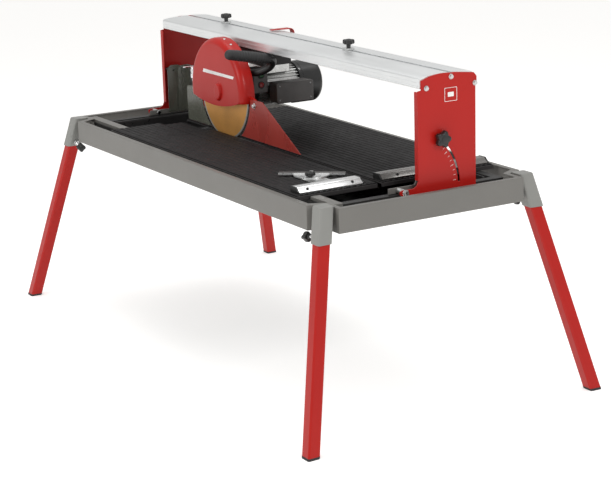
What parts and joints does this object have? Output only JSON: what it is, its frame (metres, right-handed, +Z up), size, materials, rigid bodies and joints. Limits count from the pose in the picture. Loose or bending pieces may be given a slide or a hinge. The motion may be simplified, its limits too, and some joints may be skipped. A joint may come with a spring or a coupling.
{
  "type": "wet tile saw",
  "caption": "Bridge saw for tiles: tilting rail over a ribbed table and water tray, sliding motor with guarded diamond disc, on splayed legs.",
  "frame": {"origin": "centre of the footprint, on the floor", "axes": "+X along the table and rail to the right-hand end, +Y away from the operator, +Z up"},
  "size_m": [1.8488, 0.951, 0.9403],
  "materials": {
    "frame_grey": "satin light grey powder coat",
    "socket_grey": "light grey coated steel",
    "red_paint": "gloss red powder coat",
    "black_plastic": "black moulded plastic",
    "grip_rubber": "black ribbed grip rubber",
    "tray_plastic": "black thermoformed tray",
    "table_paint": "dark grey coated steel",
    "mat_rubber": "black ribbed rubber",
    "aluminium": "anodised extrusion",
    "cast_aluminium": "finned cast motor casing",
    "bright_steel": "zinc plated steel",
    "chrome": "chromed brass",
    "blade_steel": "bronze coated disc with a bright diamond rim",
    "smoke_plastic": "flexible smoke grey sheet",
    "red_rubber": "translucent red flexible sheet",
    "roller_plastic": "hard nylon roller",
    "green_button": "green push button",
    "red_button": "red push button"
  },
  "bodies": {
    "frame": {"base_frame": "frame_grey", "water_tray": "tray_plastic", "coolant_pump": "black_plastic", "subframe": "socket_grey", "table_front": "table_paint", "table_rear": "table_paint", "table_mat_front": "mat_rubber", "table_mat_rear": "mat_rubber", "pivot_bracket_left": "table_paint", "pivot_bracket_right": "table_paint", "pivot_bolt_left": "bright_steel", "pivot_bolt_right": "bright_steel", "fence_front": "aluminium", "fence_rear": "aluminium", "leg_socket_front_left": "socket_grey", "leg_socket_front_right": "socket_grey", "leg_socket_rear_left": "socket_grey", "leg_socket_rear_right": "socket_grey"},
    "leg_front_left": {"leg_front_left": "red_paint"},
    "leg_clamp_knob_front_left": {"leg_clamp_knob_front_left": "black_plastic"},
    "leg_front_right": {"leg_front_right": "red_paint"},
    "leg_clamp_knob_front_right": {"leg_clamp_knob_front_right": "black_plastic"},
    "leg_rear_left": {"leg_rear_left": "red_paint"},
    "leg_clamp_knob_rear_left": {"leg_clamp_knob_rear_left": "black_plastic"},
    "leg_rear_right": {"leg_rear_right": "red_paint"},
    "leg_clamp_knob_rear_right": {"leg_clamp_knob_rear_right": "black_plastic"},
    "tilt_knob_left": {"tilt_knob_left": "black_plastic"},
    "tilt_knob_right": {"tilt_knob_right": "black_plastic"},
    "bridge": {"end_plate_left": "red_paint", "end_plate_right": "red_paint", "guide_rail": "aluminium", "splash_curtain": "smoke_plastic"},
    "rail_stop_left": {"rail_stop_left": "bright_steel"},
    "rail_stop_knob_left": {"rail_stop_knob_left": "black_plastic"},
    "rail_stop_right": {"rail_stop_right": "bright_steel"},
    "rail_stop_knob_right": {"rail_stop_knob_right": "black_plastic"},
    "carriage": {"carriage_body": "table_paint", "handle_grip": "grip_rubber", "blade_guard": "red_paint", "motor_housing": "cast_aluminium", "motor_fan_cover": "black_plastic", "terminal_box": "black_plastic", "switch_box": "black_plastic", "hose_guide": "red_paint", "water_tap": "chrome"},
    "roller_front_left": {"roller_front_left": "roller_plastic"},
    "roller_front_right": {"roller_front_right": "roller_plastic"},
    "roller_rear_left": {"roller_rear_left": "roller_plastic"},
    "roller_rear_right": {"roller_rear_right": "roller_plastic"},
    "spindle": {"motor_rotor": "bright_steel", "diamond_blade": "blade_steel", "arbor_flange": "bright_steel"},
    "splash_flap": {"splash_flap": "red_rubber"},
    "button_on": {"button_on": "green_button"},
    "button_off": {"button_off": "red_button"},
    "water_tap_lever": {"water_tap_lever": "chrome"},
    "angle_stop_carrier": {"angle_stop_carrier": "bright_steel"},
    "angle_stop_arm": {"angle_stop_arm": "aluminium"},
    "angle_stop_knob": {"angle_stop_knob": "black_plastic"},
    "drain_plug": {"drain_plug": "black_plastic"}
  },
  "joints": [
    {"name": "leg_pull_front_left", "type": "slide", "parent": "frame", "child": "leg_front_left", "axis": [-0.2179, -0.2179, -0.9514], "range_m": [0, 0.08]},
    {"name": "leg_clamp_turn_front_left", "type": "hinge", "parent": "frame", "child": "leg_clamp_knob_front_left", "pos_m": [-0.7138, -0.33753, 0.52173], "axis": [0.976, -0.0486, -0.2124], "range_deg": [0, 360]},
    {"name": "leg_pull_front_right", "type": "slide", "parent": "frame", "child": "leg_front_right", "axis": [0.2179, -0.2179, -0.9514], "range_m": [0, 0.08]},
    {"name": "leg_clamp_turn_front_right", "type": "hinge", "parent": "frame", "child": "leg_clamp_knob_front_right", "pos_m": [0.7138, -0.33753, 0.52173], "axis": [-0.976, -0.0486, -0.2124], "range_deg": [0, 360]},
    {"name": "leg_pull_rear_left", "type": "slide", "parent": "frame", "child": "leg_rear_left", "axis": [-0.2179, 0.2179, -0.9514], "range_m": [0, 0.08]},
    {"name": "leg_clamp_turn_rear_left", "type": "hinge", "parent": "frame", "child": "leg_clamp_knob_rear_left", "pos_m": [-0.7138, 0.33753, 0.52173], "axis": [0.976, 0.0486, -0.2124], "range_deg": [0, 360]},
    {"name": "leg_pull_rear_right", "type": "slide", "parent": "frame", "child": "leg_rear_right", "axis": [0.2179, 0.2179, -0.9514], "range_m": [0, 0.08]},
    {"name": "leg_clamp_turn_rear_right", "type": "hinge", "parent": "frame", "child": "leg_clamp_knob_rear_right", "pos_m": [0.7138, 0.33753, 0.52173], "axis": [-0.976, 0.0486, -0.2124], "range_deg": [0, 360]},
    {"name": "tilt_knob_turn_left", "type": "hinge", "parent": "frame", "child": "tilt_knob_left", "pos_m": [-0.767, 0.05556, 0.73576], "axis": [-1, 0, 0], "range_deg": [0, 360]},
    {"name": "tilt_knob_turn_right", "type": "hinge", "parent": "frame", "child": "tilt_knob_right", "pos_m": [0.767, 0.05556, 0.73576], "axis": [1, 0, 0], "range_deg": [0, 360]},
    {"name": "bridge_tilt", "type": "hinge", "parent": "frame", "child": "bridge", "pos_m": [0, -0.055, 0.604], "axis": [1, 0, 0], "range_deg": [0, 45]},
    {"name": "rail_stop_slide_left", "type": "slide", "parent": "bridge", "child": "rail_stop_left", "axis": [1, 0, 0], "range_m": [-0.2, 0.2]},
    {"name": "rail_stop_knob_turn_left", "type": "hinge", "parent": "rail_stop_left", "child": "rail_stop_knob_left", "pos_m": [-0.488, 0.092, 0.93], "axis": [0, 0, 1], "range_deg": [0, 360]},
    {"name": "rail_stop_slide_right", "type": "slide", "parent": "bridge", "child": "rail_stop_right", "axis": [1, 0, 0], "range_m": [-0.4, 0.45]},
    {"name": "rail_stop_knob_turn_right", "type": "hinge", "parent": "rail_stop_right", "child": "rail_stop_knob_right", "pos_m": [0.248, 0.092, 0.93], "axis": [0, 0, 1], "range_deg": [0, 360]},
    {"name": "carriage_slide", "type": "slide", "parent": "bridge", "child": "carriage", "axis": [1, 0, 0], "range_m": [-0.235, 0.746]},
    {"name": "roller_front_left_spin", "type": "hinge", "parent": "carriage", "child": "roller_front_left", "pos_m": [-0.32, 0.01, 0.8858], "axis": [0, 1, 0], "range_deg": [-1800, 5700]},
    {"name": "roller_front_right_spin", "type": "hinge", "parent": "carriage", "child": "roller_front_right", "pos_m": [-0.12, 0.01, 0.8858], "axis": [0, 1, 0], "range_deg": [-1800, 5700]},
    {"name": "roller_rear_left_spin", "type": "hinge", "parent": "carriage", "child": "roller_rear_left", "pos_m": [-0.32, 0.15, 0.8858], "axis": [0, 1, 0], "range_deg": [-1800, 5700]},
    {"name": "roller_rear_right_spin", "type": "hinge", "parent": "carriage", "child": "roller_rear_right", "pos_m": [-0.12, 0.15, 0.8858], "axis": [0, 1, 0], "range_deg": [-1800, 5700]},
    {"name": "blade_spin", "type": "hinge", "parent": "carriage", "child": "spindle", "pos_m": [-0.238, -0.055, 0.742], "axis": [0, 1, 0], "continuous": true},
    {"name": "splash_flap_lift", "type": "slide", "parent": "carriage", "child": "splash_flap", "axis": [0, 0, 1], "range_m": [0, 0.01]},
    {"name": "button_on_press", "type": "slide", "parent": "carriage", "child": "button_on", "axis": [-1, 0, 0], "range_m": [0, 0.0035], "stiffness_N_per_m": 600},
    {"name": "button_off_press", "type": "slide", "parent": "carriage", "child": "button_off", "axis": [-1, 0, 0], "range_m": [0, 0.0035], "stiffness_N_per_m": 600},
    {"name": "water_tap_turn", "type": "hinge", "parent": "carriage", "child": "water_tap_lever", "pos_m": [-0.436, -0.06, 0.79], "axis": [0, 0, -1], "range_deg": [0, 90]},
    {"name": "angle_stop_slide", "type": "slide", "parent": "frame", "child": "angle_stop_carrier", "axis": [0, -1, 0], "range_m": [0, 0.08]},
    {"name": "angle_stop_swing", "type": "hinge", "parent": "angle_stop_carrier", "child": "angle_stop_arm", "pos_m": [0.45, -0.162, 0.616], "axis": [0, 0, -1], "range_deg": [-37, 40]},
    {"name": "angle_stop_knob_turn", "type": "hinge", "parent": "angle_stop_carrier", "child": "angle_stop_knob", "pos_m": [0.48011, -0.18519, 0.625], "axis": [0, 0, 1], "range_deg": [0, 360]},
    {"name": "drain_plug_pull", "type": "slide", "parent": "frame", "child": "drain_plug", "axis": [0, 0, -1], "range_m": [0, 0.03]}
  ],
  "couplings": [
    {"joint": "roller_front_left_spin", "follows": "carriage_slide", "rad_per_m": 133.33},
    {"joint": "roller_front_right_spin", "follows": "carriage_slide", "rad_per_m": 133.33},
    {"joint": "roller_rear_left_spin", "follows": "carriage_slide", "rad_per_m": 133.33},
    {"joint": "roller_rear_right_spin", "follows": "carriage_slide", "rad_per_m": 133.33}
  ]
}
